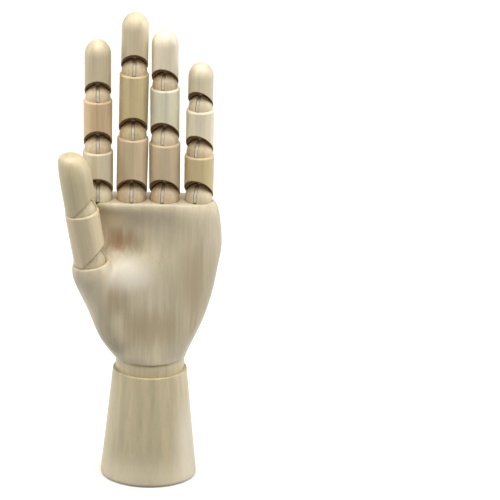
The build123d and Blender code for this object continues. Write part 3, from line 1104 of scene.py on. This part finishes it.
class HAND_OT_palm(bpy.types.Operator):
    """Carves and sands the palm"""

    bl_idname = "wooden_hand.palm"
    bl_label = "Carved Palm"

    def execute(self, context):
        digits = context.scene.wooden_hand.digits
        body = context.scene.wooden_hand.body
        piece = bpy.data.objects.new("carved_palm", frame["nodes"]["palm"].data.copy())
        context.scene.collection.objects.link(piece)
        weld = piece.modifiers.new("Weld", "WELD")
        weld.merge_threshold = 1e-6
        carve = piece.modifiers.new("Carve", "REMESH")
        carve.mode = "VOXEL"
        carve.voxel_size = body.palm_detail
        carve.use_smooth_shade = True
        sand = piece.modifiers.new("Sand", "SMOOTH")
        sand.factor = 0.5
        sand.iterations = body.palm_sanding
        apply_modifiers(piece)

        # The ball of the thumb runs out softly into the heel of the hand: more rounds there alone
        heel = piece.vertex_groups.new(name="Heel")
        cup = Vector(PINS["thumb_knuckle"]["pos_m"])
        for point in piece.data.vertices:
            share = fade(point.co.z, HEEL_FOOT) * fade(point.co.z, HEEL_TOP)
            share *= fade((point.co - cup).length, HEEL_CUP) * fade(point.co.y, HEEL_BACK)
            heel.add([point.index], share, "REPLACE")
        soften = piece.modifiers.new("Soften", "SMOOTH")
        soften.factor = 0.5
        soften.iterations = body.heel_sanding
        soften.vertex_group = heel.name

        # The cups are cut last, so that their rims stay crisp
        tree = round_tree()
        cutters = []
        for digit in DIGITS:
            sizes = {"Radius": digits.ball_share * getattr(digits, digit)[0] + digits.play}
            cutter = made_by(tree, f"{digit}_cup", sizes, None, joint_matrix(digit, "knuckle"))
            hollow = piece.modifiers.new("Cup", "BOOLEAN")
            hollow.object = cutter
            hollow.solver = "MANIFOLD"
            cutters.append(cutter)
        apply_modifiers(piece)
        for cutter in cutters:
            bpy.data.objects.remove(cutter)
        piece.data.materials.clear()
        piece.data.materials.append(wood_for("palm"))
        put_for(piece, "palm")
        return {"FINISHED"}


class HAND_OT_steel(bpy.types.Operator):
    """Finishes the steel tongues, pins, studs and the wrist's rod, nut, washer and spring"""

    bl_idname = "wooden_hand.steel"
    bl_label = "Steel Parts"

    def execute(self, context):
        finish = drawn_steel("drawn_steel", tuple(context.scene.wooden_hand.tones.steel))
        digits = context.scene.wooden_hand.digits
        tree = hinge_tree()
        thick, wide, grip, set_back = digits.tongue
        for digit in DIGITS:
            radii = getattr(digits, digit)
            for i, (joint, _) in enumerate(joints_of(digit)):
                radius = digits.ball_share * radii[i]
                sizes = {
                    "Thick": thick,
                    "Wide": wide,
                    "Long": radius + grip,
                    "Set Back": set_back,
                    "Eye": digits.eye,
                    "Pin": digits.pin,
                    "Pin Length": 2 * (radius - digits.plug),
                    "Blade": radius - digits.blade,
                }
                node = f"{digit}_{joint}_hinge"
                piece = made_by(tree, f"bladed_{node}", sizes, finish, joint_matrix(digit, joint))
                put_for(piece, node)
        for name in (*WRIST_STEEL, "knuckle_studs"):
            node = frame["nodes"][name]
            node.data.materials.clear()
            node.data.materials.append(finish)
        return {"FINISHED"}


class HAND_OT_stage(bpy.types.Operator):
    """Sets the pale floor, the soft studio light and the camera"""

    bl_idname = "wooden_hand.stage"
    bl_label = "Floor, Light and Camera"

    def execute(self, context):
        scene = context.scene
        side = 12.0
        corners = [(-side, -side, 0), (side, -side, 0), (side, side, 0), (-side, side, 0)]
        mesh = bpy.data.meshes.new("floor")
        mesh.from_pydata(corners, [], [(0, 1, 2, 3)])
        floor = bpy.data.objects.new("floor", mesh)
        scene.collection.objects.link(floor)
        floor.data.materials.append(matt_paper("matt_paper", tuple(scene.wooden_hand.tones.floor)))
        # The floor throws no light back onto the hand
        floor.visible_diffuse = False

        world = bpy.data.worlds.new("studio")
        world.use_nodes = True
        scene.world = world
        background = world.node_tree.nodes["Background"]
        background.inputs["Color"].default_value = (1, 1, 1, 1)
        background.inputs["Strength"].default_value = 0.24

        # A light tent: a wide panel on each side and one overhead, and little from the front. Each has
        # its place, what it is aimed at, its side in metres and its power in watts.
        panels = (
            ("left_panel", (-2.2, 0.0, 0.75), (0, 0, 0.13), 1.9, 26.0),
            ("right_panel", (2.2, 0.0, 0.75), (0, 0, 0.13), 1.9, 34.0),
            ("top_panel", (0.0, -0.15, 1.3), (0, 0.1, 0.0), 1.6, 27.0),
        )
        for name, place, aim, size, power in panels:
            light = bpy.data.lights.new(name, "AREA")
            light.shape = "SQUARE"
            light.size = size
            light.energy = power
            lamp = bpy.data.objects.new(name, light)
            lamp.location = place
            lamp.rotation_euler = (Vector(aim) - Vector(place)).to_track_quat("-Z", "Y").to_euler()
            scene.collection.objects.link(lamp)

        # The camera stands so far off that the view is nearly parallel, as the photograph's is, and is
        # aimed so that the hand's foot, at the origin, falls on its pixel
        right = Vector((1, 0, 0))
        up = Vector((0, sin(ELEVATION), cos(ELEVATION)))
        back = right.cross(up)
        across = PICTURE / 2 - FOOT_ACROSS
        down = PICTURE / 2 - FOOT_DOWN
        aim = right * PIXEL * (across * cos(ROLL) + down * sin(ROLL))
        aim += up * PIXEL * (across * sin(ROLL) - down * cos(ROLL))
        data = bpy.data.cameras.new("camera")
        data.sensor_width = 36
        data.lens = 1000
        data.clip_end = 100
        distance = data.lens / data.sensor_width * PICTURE * PIXEL
        x = right * cos(ROLL) + up * sin(ROLL)
        y = -right * sin(ROLL) + up * cos(ROLL)
        turn = Matrix((x, y, back)).transposed().to_4x4()
        camera = bpy.data.objects.new("camera", data)
        camera.matrix_world = Matrix.Translation(aim + back * distance) @ turn
        scene.collection.objects.link(camera)
        scene.camera = camera
        scene.view_settings.view_transform = "Standard"
        scene.view_settings.look = "None"
        return {"FINISHED"}


class HAND_PT_panel(bpy.types.Panel):
    """The pieces of the hand, in the order they are made"""

    bl_label = "Wooden Hand"
    bl_idname = "HAND_PT_panel"
    bl_space_type = "VIEW_3D"
    bl_region_type = "UI"
    bl_category = "Wooden Hand"

    def draw(self, context):
        for operator in OPERATORS:
            self.layout.operator(operator.bl_idname)
        settings = context.scene.wooden_hand
        for group in (settings.digits, settings.body, settings.tones):
            box = self.layout.box()
            for name in group.__annotations__:
                box.prop(group, name)


OPERATORS = (HAND_OT_segments, HAND_OT_balls, HAND_OT_base, HAND_OT_palm, HAND_OT_steel, HAND_OT_stage)
CLASSES = (DigitSizes, BodySizes, WoodTones, HAND_PG_settings, *OPERATORS, HAND_PT_panel)


def register():
    for item in CLASSES:
        bpy.utils.register_class(item)
    bpy.types.Scene.wooden_hand = PointerProperty(type=HAND_PG_settings)


def unregister():
    del bpy.types.Scene.wooden_hand
    for item in reversed(CLASSES):
        bpy.utils.unregister_class(item)


def main():
    register()
    bpy.ops.wooden_hand.segments()
    bpy.ops.wooden_hand.balls()
    bpy.ops.wooden_hand.base()
    bpy.ops.wooden_hand.palm()
    bpy.ops.wooden_hand.steel()
    bpy.ops.wooden_hand.stage()
    bpy.context.view_layer.update()


if __name__ == "__main__":
    main()
